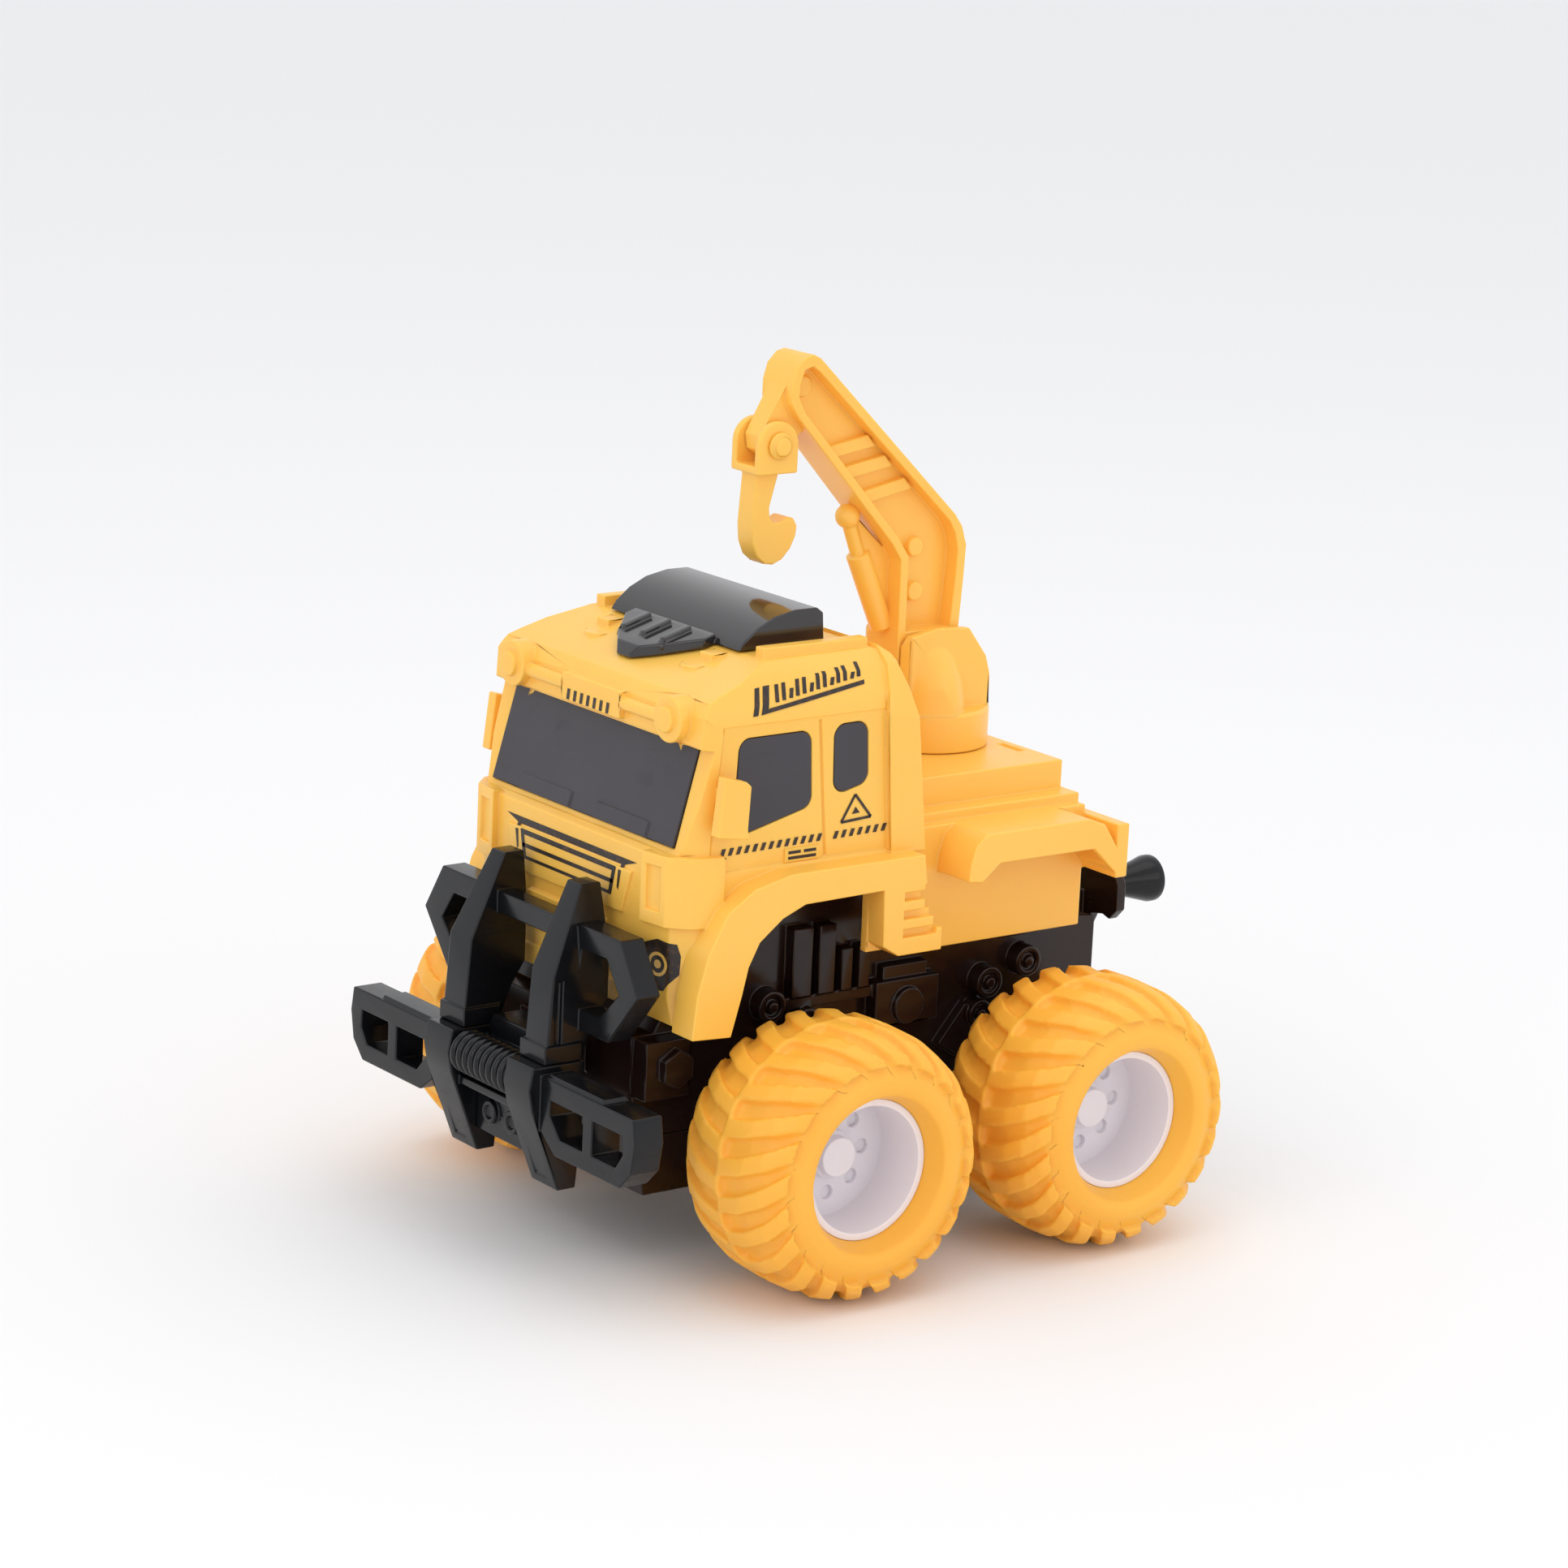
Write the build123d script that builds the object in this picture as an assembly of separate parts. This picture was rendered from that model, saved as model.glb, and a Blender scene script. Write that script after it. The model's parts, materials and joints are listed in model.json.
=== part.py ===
"""Toy crane truck with a raised off-road chassis, in millimetres, +Z up, front towards -Y."""
import os
from math import atan2, cos, degrees, pi, radians, sin

from build123d import *

os.makedirs("parts", exist_ok=True)

# overall sizes
overall_length = 158.0
overall_width = 123.6
overall_height = 160.0

# wheels and axles
tyre_radius = 25.0
tyre_width = 31.0
tyre_shoulder = 12.5
tread_depth = 1.5
lug_count = 22
rim_radius = 12.9
rim_wall = 1.3
rim_dish = 11.0
bead_flange = 2.0
axle_radius = 1.5
running_gap = 0.06
wheelbase_design = 58.5

# shells and small parts
wall = 1.8
fit_gap = 0.12
pane_corner = 2.4
seam_width = 0.5
recess_depth = 0.5
hoop_height = 0.9
screw_radius = 1.1
screw_head_radius = 2.1
screw_head_height = 1.5
pin_radius = 1.9
turret_radius = 12.0
spigot_radius = 5.0
boom_half = 4.6
boom_web = 2.4
barrel_radius = 6.9
barrel_gap = 0.6
cheek_gap = 5.0
cheek_wall = 2.0

# gear train
gear_module = 0.6
wheel_teeth = 24
pinion_teeth = 8
gear_width = 3.0
shaft_radius = 1.0
flywheel_radius = 8.0

# design frame that the outlines below are drawn in
design_length = 158.0
design_width = 123.6
design_height = 160.0
design_axle_z = 25.0
design_mid_y = 0.5
front_axle_design_y = -33.2

k_len = overall_length / design_length
k_wid = overall_width / design_width
k_hgt = (overall_height - tyre_radius) / (design_height - design_axle_z)


def mx(v):
    return v * k_wid


def my(v):
    return (v - design_mid_y) * k_len


def mz(v):
    # heights above the axles follow the overall height, and what hangs below them keeps its own depth
    rise = v - design_axle_z
    return tyre_radius + (rise * k_hgt if rise > 0 else rise)


def box(x0, x1, y0, y1, z0, z1):
    size = (mx(x1) - mx(x0), my(y1) - my(y0), mz(z1) - mz(z0))
    mid = ((mx(x0) + mx(x1)) / 2, (my(y0) + my(y1)) / 2, (mz(z0) + mz(z1)) / 2)
    return Pos(*mid) * Box(*size)


def flat(points):
    return make_face(Polyline(*points, close=True))


def along_x(points, x0, x1, inset=0.0, corner=0.0):
    shape = flat([(my(y), mz(z)) for y, z in points])
    if corner:
        shape = fillet(shape.vertices(), corner)
    if inset:
        shape = offset(shape, -inset, kind=Kind.INTERSECTION)
    return Pos(mx(x0), 0, 0) * extrude(Plane.YZ * shape, mx(x1) - mx(x0), dir=(1, 0, 0))


def along_y(points, y0, y1, inset=0.0):
    shape = flat([(mx(x), mz(z)) for x, z in points])
    if inset:
        shape = offset(shape, -inset, kind=Kind.INTERSECTION)
    return Pos(0, my(y0), 0) * extrude(Plane.XZ * shape, my(y1) - my(y0), dir=(0, 1, 0))


def along_z(points, z0, z1, inset=0.0):
    shape = flat([(mx(x), my(y)) for x, y in points])
    if inset:
        shape = offset(shape, -inset, kind=Kind.INTERSECTION)
    return Pos(0, 0, mz(z0)) * extrude(shape, mz(z1) - mz(z0), dir=(0, 0, 1))


def rod(axis, centre, radius, start, end):
    """Cylinder along an axis; centre holds the two other coordinates, all already in final millimetres."""
    length = end - start
    mid = (start + end) / 2
    if axis == "x":
        return Pos(mid, centre[0], centre[1]) * Rot(0, 90, 0) * Cylinder(radius, length)
    if axis == "y":
        return Pos(centre[0], mid, centre[1]) * Rot(90, 0, 0) * Cylinder(radius, length)
    return Pos(centre[0], centre[1], mid) * Cylinder(radius, length)


def both(shape):
    return [shape, shape.mirror(Plane.YZ)]


def mirrored(points):
    return points + [(-x, v) for x, v in reversed(points)]


def save(name, shape):
    export_step(shape, "parts/" + name + ".step")


front_axle_y = my(front_axle_design_y)
rear_axle_y = my(front_axle_design_y + wheelbase_design)
axle_z = tyre_radius

# ---------------------------------------------------------------- cab
cab_side = [(-57.3, 47.5), (-59.2, 58), (-59.2, 77.6), (-57.4, 78.5), (-52.4, 97.0), (-54.9, 97.4),
            (-54.6, 103.0), (-53.0, 105.4), (-50.5, 106.4), (-38.0, 110.6), (-14.0, 110.9), (-11.5, 108.5),
            (-8.3, 99.0), (-5.4, 74.0), (-5.4, 56.4), (-16.0, 47.5)]
cab_front = mirrored([(33.3, 47.5), (33.3, 99.0), (32.3, 104.0), (30.4, 108.0), (26.5, 110.9)])
cab_plan = mirrored([(33.3, -5.4), (33.3, -50.5), (32.4, -55.0), (29.6, -58.2), (25.0, -59.2)])


def cab_form(inset):
    body = along_x(cab_side, -40, 40, inset)
    body = body & along_y(cab_front, -70, 10, inset)
    return body & along_z(cab_plan, 40, 120, inset)


cab_outer = cab_form(0)
cab_inner = cab_form(wall)
side_x = 33.3
hoop_x = side_x + hoop_height
hoop_front = mirrored([(hoop_x, 74.2), (hoop_x, 99.2), (hoop_x - 1.1, 104.5), (31.1, 108.8), (26.9, 111.5)])
hoop_side = [(-13.4, 111.5), (-11.6, 110.0), (-11.5, 108.5), (-8.3, 99.0), (-5.4, 74.2), (-13.2, 74.2),
             (-15.2, 100.6)]
cab_outer_hoop = cab_outer + (along_x(hoop_side, -40, 40) & along_y(hoop_front, -20, 0))
door_recess = [(-50.6, 101.0), (-15.2, 101.0), (-13.2, 75.2), (-52.6, 75.2), (-52.2, 84.0)]
door_seam = [(-29.8, 100.4), (-29.8 + seam_width, 100.4), (-27.5 + seam_width, 75.6), (-27.5, 75.6)]
cab = cab_outer_hoop - cab_inner
for half in both(along_x(door_recess, side_x - recess_depth, side_x + 0.4)):
    cab -= half
for half in both(along_x(door_seam, side_x - 2 * recess_depth, side_x + 0.4)):
    cab -= half
# open bottom and wheel arches through the side walls
cab -= box(-31.4, 31.4, -55.0, -7.2, 40, 51)
cab -= box(-31.4, 31.4, -20.0, 0.0, 40, 66.15)
arch = [(-49.8, 40), (-49.8, 46.5), (-47.9, 53.8), (-46.7, 58.8), (-44.5, 63.0), (-39.7, 66.7), (-34.8, 68.7),
        (-17.3, 69.0), (-17.3, 40)]
cab -= along_x(arch, -45, 45)
cab -= box(-45, 45, -17.4, 10, 40, 56.4)

# wide arch lips
lip_outer = [(-50.0, 46.5), (-58.4, 47.0), (-57.6, 55.0), (-55.5, 62.0), (-51.6, 69.2), (-46.0, 72.8),
             (-38.0, 74.6), (-8.4, 74.6), (-7.6, 69.0), (-17.3, 69.0), (-34.8, 68.7), (-39.7, 66.7),
             (-44.5, 63.0), (-46.7, 58.8), (-47.9, 53.8)]
lip = along_x(lip_outer, 31.6, 38.0)
lip_relief = [(-51.2, 40.0), (-51.2, 50.0), (-49.2, 58.0), (-45.6, 64.6), (-39.9, 68.2), (-34.8, 70.3),
              (-10.0, 70.4), (-10.0, 40.0)]
lip -= along_x(lip_relief, 30.0, 36.4)
# step block behind the arch
step_block = along_x([(-17.4, 70.0), (-17.0, 58.5), (-13.5, 56.4), (-3.7, 56.4), (-3.7, 60.6), (-5.8, 60.8),
                      (-5.8, 64.2), (-8.0, 64.4), (-8.0, 70.0)], 31.6, 38.0)
for step_z in (59.6, 63.0, 66.4):
    step_block -= box(36.6, 39.0, -12.6, -5.0, step_z, step_z + 1.6)
# corner vent housings that wrap the front corners under the belt line
vent_plan = [(23.5, -58.5), (23.5, -60.6), (29.9, -59.7), (33.2, -56.4), (34.4, -51.4), (34.4, -50.0),
             (32.6, -50.0), (32.6, -51.5), (31.2, -55.0), (28.8, -57.4)]
vent = along_z(vent_plan, 65.6, 78.4)
vent -= along_z([(24.9, -62.5), (24.9, -59.6), (28.3, -59.2), (29.5, -62.5)], 68.2, 76.2)
lower_vent = along_x([(-55.5, 52.5), (-55.5, 55.5), (-50.5, 55.5), (-49.5, 52.5)], 33.0, 34.4)
upper_vent = along_x([(-56.0, 58.0), (-55.5, 61.0), (-48.6, 61.0), (-49.6, 58.0)], 33.0, 34.4)
# light pods and visor plate over the windscreen
pod_z = mz(101.6)
pod = rod("y", (mx(24.6), pod_z), 4.2, my(-56.9), my(-53.0))
pod += rod("y", (mx(24.6), pod_z), 2.3, my(-57.8), my(-53.0))
light_tube = rod("x", (my(-55.0), mz(101.0)), 1.3, mx(9.0), mx(23.0))
visor_plate = box(-9.2, 9.2, -56.2, -53.2, 98.2, 103.2)
# mirrors
mirror_plate = along_x([(-54.2, 82.8), (-47.4, 81.8), (-47.2, 91.2), (-48.4, 92.2), (-53.0, 93.4)], 35.0,
                       37.4)
mirror_stalk = box(32.6, 35.4, -51.8, -49.6, 85.0, 90.5)
# roof rails and front tabs
rail = box(23.4, 26.0, -37.6, -14.6, 110.0, 112.6)
tab = box(14.2, 17.8, -43.0, -39.0, 107.4, 110.4)
# bonnet panel for the grille and its lower slats
grille_panel = along_y(mirrored([(19.7, 73.4), (17.0, 65.4)]), -59.9, -58.8)
slat_low = box(-12.0, 12.0, -60.3, -58.8, 61.0, 62.8)
chin = box(-20.0, 20.0, -58.6, -57.2, 48.2, 52.0)

front_glass_side = [(-58.6, 79.3), (-53.6, 96.9), (-50.4, 96.9), (-55.0, 79.3)]
front_glass_hole = along_x(front_glass_side, -28.7, 28.7)
front_pane = [(-47.0, 98.7), (-31.4, 98.8), (-30.6, 85.0), (-47.9, 80.7)]
rear_pane = [(-26.4, 99.2), (-18.9, 99.3), (-18.2, 88.0), (-26.0, 86.1)]
pod_hole = box(-17.0, 17.0, -36.0, -22.0, 104, 114)

for piece in (lip, step_block, vent, lower_vent, upper_vent, pod, light_tube, mirror_plate, mirror_stalk,
              rail, tab):
    for half in both(piece):
        cab += half
cab += visor_plate + grille_panel + slat_low + chin
cab -= cab_form(wall + 0.4)
cab -= front_glass_hole
for pane in (front_pane, rear_pane):
    cab -= along_x(pane, -45, 45, corner=pane_corner)
cab -= pod_hole
# screw posts that stand on the chassis deck
deck_z = 66.0
cab_post_at = [(mx(-15.0), my(-44.0)), (mx(15.0), my(-44.0))]
for px, py in cab_post_at:
    cab += rod("z", (px, py), 3.0, mz(deck_z), mz(108.4))
    cab -= rod("z", (px, py), screw_radius - 0.15, mz(deck_z) - 1, mz(deck_z) + 9)
cab = cab - box(-45, 45, -70, 10, 111.5, 130) + both(rail)[0] + both(rail)[1]
save("cab_shell", cab)

# ---------------------------------------------------------------- windows and roof pod
windscreen = along_x([(-57.6, 79.45), (-52.75, 96.75), (-51.1, 96.75), (-55.9, 79.45)], -28.55, 28.55)
wiper_side = [(-57.9, 79.6), (-57.1, 82.4), (-56.0, 82.4), (-56.6, 79.6)]
windscreen += along_x(wiper_side, -19.5, -3.5)
windscreen += along_x(wiper_side, 4.5, 20.5)
save("windscreen", windscreen)

inner_wall_x = side_x - wall
glass_x = side_x - recess_depth - 0.05
side_glass = along_x(front_pane, inner_wall_x - 1.0, glass_x, fit_gap, pane_corner)
side_glass += along_x(rear_pane, inner_wall_x - 1.0, glass_x, fit_gap, pane_corner)
side_glass += along_x([(-47.0, 98.0), (-19.0, 98.6), (-18.6, 90.0), (-46.8, 83.6)], inner_wall_x - 1.6,
                      inner_wall_x - 0.55)
save("side_glass_left", side_glass)
save("side_glass_right", side_glass.mirror(Plane.YZ))

pod_side = [(-38.6, 110.95), (-37.4, 112.6), (-34.6, 114.8), (-31.0, 116.5), (-26.4, 117.4), (-21.6, 117.4),
            (-20.2, 116.4), (-19.8, 110.95)]
roof_pod = along_x(pod_side, -20.0, 20.0)
roof_pod -= along_x([(-35.4, 108), (-35.4, 111.5), (-30.0, 114.6), (-26.0, 115.6), (-22.0, 115.6),
                     (-22.0, 108)], -16.6, 16.6)
console_plan = mirrored([(12.4, -38.2), (12.4, -40.6), (6.0, -46.6), (2.0, -49.4)])
console_side = [(-50, 106.9), (-38.2, 110.95), (-38.2, 112.7), (-48.4, 109.6)]
roof_pod += along_z(console_plan, 104, 116) & along_x(console_side, -13, 13)
console_bar = [(-46.0, 109.4), (-39.6, 111.2), (-39.6, 113.2), (-45.4, 111.4)]
for bar_x in (-6.2, 0.0, 6.2):
    roof_pod += along_x(console_bar, bar_x - 0.8, bar_x + 0.8)
roof_pod += box(-16.8, -13.8, -35.6, -22.4, 108.6, 111.4)
roof_pod += box(13.8, 16.8, -35.6, -22.4, 108.6, 111.4)
roof_pod -= cab_outer - pod_hole
save("roof_pod", roof_pod)

# ---------------------------------------------------------------- rear body
rear_outer = box(-30.0, 30.0, -12.0, 35.5, 54.0, 77.2)
rear_outer += box(-28.0, 28.0, -12.0, 35.5, 77.0, 79.0)
rear_outer += box(-24.0, 24.0, -12.0, 34.4, 79.0, 84.5)
rear_inner = box(-28.2, 28.2, -10.2, 33.7, 50.0, 75.4)
rear_inner += box(-26.2, 26.2, -10.2, 33.7, 75.0, 77.2)
rear_inner += box(-22.2, 22.2, -10.2, 32.6, 77.0, 82.7)
rear_body = rear_outer - rear_inner
fender_side = [(0.7, 68.6), (1.0, 72.0), (2.2, 75.4), (4.4, 77.2), (28.6, 77.2), (32.4, 75.8),
               (35.6, 71.0), (35.6, 65.6), (35.2, 66.4), (30.0, 71.4), (7.8, 71.4), (3.8, 68.2)]
fender = along_x(fender_side, 29.0, 39.6)
fender -= along_x([(5.0, 60.0), (5.6, 70.0), (7.2, 75.4), (28.6, 75.4), (34.0, 70.0), (34.0, 60.0)], 30.4,
                  38.0)
for half in both(fender):
    rear_body += half
rear_body += box(-39.6, 39.6, 35.4, 38.2, 65.2, 75.4)
# small moulded notch and hatch on the deck
rear_body -= box(8.6, 15.0, 31.0, 32.4, 83.9, 86.0)
rear_body -= box(-15.0, -8.6, 31.0, 32.4, 83.9, 86.0)
turret_x = 0.0
turret_y = my(20.2)
deck_top = mz(84.5)
rear_body -= rod("z", (turret_x, turret_y), spigot_radius + running_gap + 0.02, deck_top - 6, deck_top + 2)
rear_post_at = [(mx(-17.0), my(9.0)), (mx(17.0), my(9.0))]
for px, py in rear_post_at:
    rear_body += rod("z", (px, py), 3.0, mz(deck_z), mz(83.5))
    rear_body -= rod("z", (px, py), screw_radius - 0.15, mz(deck_z) - 1, mz(deck_z) + 9)
cab_clear = along_x(cab_side, -45, 45, -fit_gap) & along_y(cab_front, -75, 15, -fit_gap)
rear_body -= cab_clear
rear_body = rear_body - box(-45, 45, -20, -5.2, 40, 70)
step_clear = box(31.0, 40.0, -20.0, -3.5, 50.0, 72.0)
for half in both(step_clear):
    rear_body -= half
save("rear_body", rear_body)

# ---------------------------------------------------------------- chassis and its cover
chassis_side = [(-60.6, 44.0), (-60.6, 35.5), (-58.8, 25.0), (44.0, 25.0), (45.6, 36.0), (45.6, 52.6),
                (33.4, 53.8), (33.4, 66.0), (-49.0, 66.0), (-52.0, 51.0), (-56.0, 44.0)]
chassis_inner = [(-58.0, 41.4), (-56.6, 20.0), (41.6, 20.0), (43.2, 36.0), (43.2, 50.4), (31.2, 51.6),
                 (31.2, 63.6), (-47.0, 63.6), (-50.0, 49.0), (-54.0, 41.4)]
chassis = along_x(chassis_side, -23.0, 23.0)
chassis -= along_x(chassis_inner, -20.8, 20.8)
bosses = [(-32.1, 46.4, 3.0), (-23.9, 42.5, 2.6), (18.1, 44.1, 3.0), (27.2, 47.0, 3.0), (16.4, 38.3, 2.6)]
for by, bz, br in bosses:
    ring = rod("x", (my(by), mz(bz)), br, mx(22.0), mx(26.2))
    ring -= rod("x", (my(by), mz(bz)), br * 0.62, mx(25.5), mx(27))
    ring += rod("x", (my(by), mz(bz)), br * 0.34, mx(25.0), mx(26.6))
    for half in both(ring):
        chassis += half
side_trim = [box(22, 25.4, -27.5, -23.0, 47.0, 60.0), box(22, 25.4, -21.6, -17.8, 47.0, 60.0),
             box(22, 25.4, -16.4, -13.8, 47.0, 55.0), box(22, 25.4, -12.4, -9.8, 47.0, 55.0),
             box(22, 25.0, -28.5, -8.0, 44.8, 47.2), box(22, 26.0, -8.6, 6.0, 39.0, 47.6),
             box(22, 25.0, -6.4, 3.8, 47.0, 50.2), box(22, 25.2, 20.0, 33.4, 52.0, 56.0)]
side_trim.append(along_x([(13.5, 40.5), (18.9, 37.4), (13.0, 30.0), (7.5, 33.5)], 22.0, 25.0))
side_trim.append(rod("x", (my(-1.4), mz(42.6)), 3.4, mx(24), mx(27.0)))
side_trim.append(box(22.0, 27.0, -60.2, -50.5, 33.0, 43.8))
for piece in side_trim:
    for half in both(piece):
        chassis += half
hex_boss = Pos(mx(27.0), my(-54.0), mz(38.6)) * Rot(0, 90, 0) * extrude(RegularPolygon(3.6, 6), 1.6)
for half in both(hex_boss):
    chassis += half
# bearing webs round both axles, open at the split line
bearing_gap = axle_radius + running_gap
for ay in (front_axle_y, rear_axle_y):
    for bx in (-21.9, 21.9):
        chassis += rod("x", (ay, axle_z), 3.6, mx(bx) - 1.6, mx(bx) + 1.6) & box(-40, 40, -80, 80, 25.0, 40)
    for bx in (-12.0, 12.0):
        if ay == front_axle_y:
            web = Pos(mx(bx), ay, axle_z + 5.0 * k_hgt) * Box(1.8, 9.0, 10.0 * k_hgt)
            web += Pos(mx(bx), ay, axle_z + 14.0 * k_hgt) * Box(1.8, 4.0, 12.0 * k_hgt)
            bridge = Pos(0, ay, axle_z + 19.0 * k_hgt) * Box(mx(42.6), 4.0, 1.8)
            chassis += web
            chassis += bridge
    chassis -= rod("x", (ay, axle_z), bearing_gap, mx(-40), mx(40))
# tail with the tow plate
chassis += box(-7.0, 7.0, 43.6, 58.0, 44.0, 52.4)
chassis -= box(-5.4, 5.4, 42.0, 55.6, 45.8, 50.6)
tow_plate = mirrored([(13.6, 61.0), (16.7, 55.6), (16.7, 50.6), (14.6, 48.4), (12.6, 49.0), (9.4, 48.4),
                      (5.4, 40.7)])
chassis += along_y(tow_plate, 56.4, 58.6)
hitch_z = 50.4
chassis -= rod("y", (0, mz(hitch_z)), 2.0 + 0.05, my(50), my(60))
# screw pillars
cover_screw_at = [(mx(-16.5), my(-50.5)), (mx(16.5), my(-50.5)), (mx(-16.5), my(-8.0)), (mx(16.5), my(-8.0)),
                  (mx(-16.5), my(39.5)), (mx(16.5), my(39.5))]
chassis_fill = along_x(chassis_side, -23.0, 23.0)
for px, py in cover_screw_at:
    chassis += rod("z", (px, py), 2.6, axle_z, mz(66.0)) & chassis_fill
    chassis -= rod("z", (px, py), screw_radius - 0.15, axle_z - 1, axle_z + 5)
for px, py in cab_post_at + rear_post_at:
    chassis -= rod("z", (px, py), screw_radius + 0.1, mz(60), mz(70))
# bumper seat on the nose
chassis += box(-9.0, 9.0, -63.0, -60.0, 34.0, 42.0)
save("chassis", chassis)

cover_side = [(-58.8, 24.9), (-57.0, 14.0), (-21.0, 14.0), (-16.0, 22.5), (7.0, 22.5), (12.0, 14.0),
              (39.5, 14.0), (44.0, 24.9)]
cover_inner = [(-56.6, 26.0), (-55.1, 15.9), (-22.2, 15.9), (-17.2, 24.3), (8.2, 24.3), (13.2, 15.9),
               (38.2, 15.9), (41.9, 26.0)]
cover = along_x(cover_side, -23.0, 23.0) - along_x(cover_inner, -20.8, 20.8)
for ay in (front_axle_y, rear_axle_y):
    for bx in (-21.9, 21.9):
        cover += rod("x", (ay, axle_z), 3.6, mx(bx) - 1.6, mx(bx) + 1.6) & box(-40, 40, -80, 80, 14.0, 24.9)
for bx in (-12.0, 12.0):
    cover += Pos(mx(bx), front_axle_y, (mz(14.4) + mz(24.9)) / 2) * Box(1.8, 8.0, mz(24.9) - mz(14.4))
for ay in (front_axle_y, rear_axle_y):
    cover -= rod("x", (ay, axle_z), bearing_gap, mx(-40), mx(40))
cover_low = [14.0, 14.0, 22.5, 22.5, 14.0, 14.0]
counterbore = 5.0
for (px, py), low in zip(cover_screw_at, cover_low):
    cover += rod("z", (px, py), 2.9, mz(low), mz(24.9))
    if low < 20:
        cover -= rod("z", (px, py), screw_head_radius + 0.15, mz(low) - 2, mz(low) + counterbore)
    cover -= rod("z", (px, py), screw_radius + 0.1, mz(low) - 2, mz(24.9) + 1)
# ribs across the underside
for rib_y in (-50.0, -45.0, -26.0, 17.0, 33.0):
    cover += box(-12.0, 12.0, rib_y, rib_y + 1.4, 13.2, 14.4)
save("chassis_cover", cover)

# ---------------------------------------------------------------- front bumper, bull bar, winch, tow hitch
def strut(start, end, radius):
    """Round bar between two design points in the middle plane."""
    y0, z0, y1, z1 = my(start[0]), mz(start[1]), my(end[0]), mz(end[1])
    length = ((y1 - y0) ** 2 + (z1 - z0) ** 2) ** 0.5
    tilt = degrees(atan2(z1 - z0, y1 - y0))
    return Pos(0, (y0 + y1) / 2, (z0 + z1) / 2) * Rot(tilt - 90, 0, 0) * Cylinder(radius, length)


bumper_half = [(8.0, 37.6), (45.6, 37.6), (46.4, 33.0), (45.4, 27.6), (42.0, 24.2), (22.0, 24.2),
               (15.5, 29.0), (8.0, 29.0)]
bumper = along_y(mirrored(bumper_half), -75.7, -69.6)
for hole in ([(20.2, 33.8), (20.2, 31.0), (23.4, 27.6), (30.4, 27.6), (30.4, 33.8)],
             [(33.4, 33.8), (33.4, 27.6), (40.6, 27.6), (42.6, 30.4), (42.4, 33.8)]):
    cut = along_y(hole, -80, -60)
    for half in both(cut):
        bumper -= half
# thicker pads on the top face and the bumper's stem back to the nose
bumper += box(-36.0, -19.0, -75.2, -70.2, 37.4, 38.4) + box(19.0, 36.0, -75.2, -70.2, 37.4, 38.4)
bumper += box(-8.8, 8.8, -71.8, -69.6, 20.0, 31.0)
bumper += box(-7.6, 7.6, -69.8, -63.2, 33.6, 41.6)
bumper -= box(-6.0, 6.0, -68.0, -60.0, 35.4, 40.0)
bracket_side = [(-77.4, 39.2), (-78.2, 35.0), (-77.4, 31.0), (-71.4, 15.6), (-67.6, 15.6), (-66.4, 30.0),
                (-66.4, 39.2)]
bracket = along_x(bracket_side, 8.9, 17.3)
bracket -= along_x([(-80, 27.4), (-76.2, 27.4), (-71.9, 17.6), (-72.6, 14), (-80, 14)], 11.2, 15.0)
for half in both(bracket):
    bumper += half
winch_y = my(-74.4)
winch_z = mz(35.2)
drum_radius = 3.3
drum_room = drum_radius + 1.5
bumper -= rod("x", (winch_y, winch_z), drum_room, mx(-8.9), mx(8.9))
for boss_x in (-3.6, 3.6):
    bumper += rod("y", (mx(boss_x), mz(24.6)), 2.2, my(-72.8), my(-71.0))
    bumper -= rod("y", (mx(boss_x), mz(24.6)), 1.2, my(-73.5), my(-72.2))
for sx in (8.9, -10.1):
    bumper -= rod("x", (winch_y, winch_z), 1.5 + running_gap, mx(sx), mx(sx) + 1.2)
save("front_bumper", bumper)

drum_half = mx(8.6)
winch = rod("x", (winch_y, winch_z), 1.5, mx(-9.8), mx(9.8))
winch += rod("x", (winch_y, winch_z), drum_radius, -drum_half, drum_half)
turn_count = 9
turn_pitch = 2 * drum_half / turn_count
for i in range(turn_count):
    turn_x = (i + 0.5) * turn_pitch - drum_half
    winch += Pos(turn_x, winch_y, winch_z) * Rot(0, 90, 0) * Torus(drum_radius, turn_pitch * 0.42)
save("winch_drum", winch)

upright_side = [(-74.6, 39.3), (-73.4, 55.3), (-66.6, 70.6), (-62.4, 70.6), (-61.6, 62.0), (-61.6, 50.0),
                (-64.4, 45.6), (-67.4, 39.3)]
upright = along_x(upright_side, 9.7, 16.8)
upright = upright & along_y([(9.8, 30), (9.7, 55.3), (10.0, 72), (14.1, 72), (16.8, 55.3), (16.8, 30)],
                            -80, -55)
upright -= box(16.0, 18.0, -72.6, -71.4, 41, 54)
loop_outer = [(15.5, 64.0), (28.6, 64.0), (34.3, 55.0), (25.8, 44.8), (15.5, 44.8)]
loop_hole = [(16.8, 59.6), (24.6, 59.6), (28.4, 54.2), (22.8, 48.6), (16.8, 48.6)]
loop = along_y(loop_outer, -67.8, -62.8) - along_y(loop_hole, -70, -60)
foot = box(9.0, 17.2, -75.0, -67.0, 39.25, 42.6)
bull = box(-10.0, 10.0, -68.0, -64.0, 59.8, 63.8)
for piece in (upright, loop, foot):
    for half in both(piece):
        bull += half
save("bull_bar", bull)

hitch = rod("y", (0, mz(hitch_z)), 2.0, my(56.4), my(73.0))
hitch += Pos(0, my(73.5), mz(hitch_z)) * Rot(-90, 0, 0) * Cone(2.0, 4.6, my(78.0) - my(69.0))
hitch += rod("y", (0, mz(hitch_z)), 4.6, my(78.0), my(79.5))
save("tow_hitch", hitch)

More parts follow.
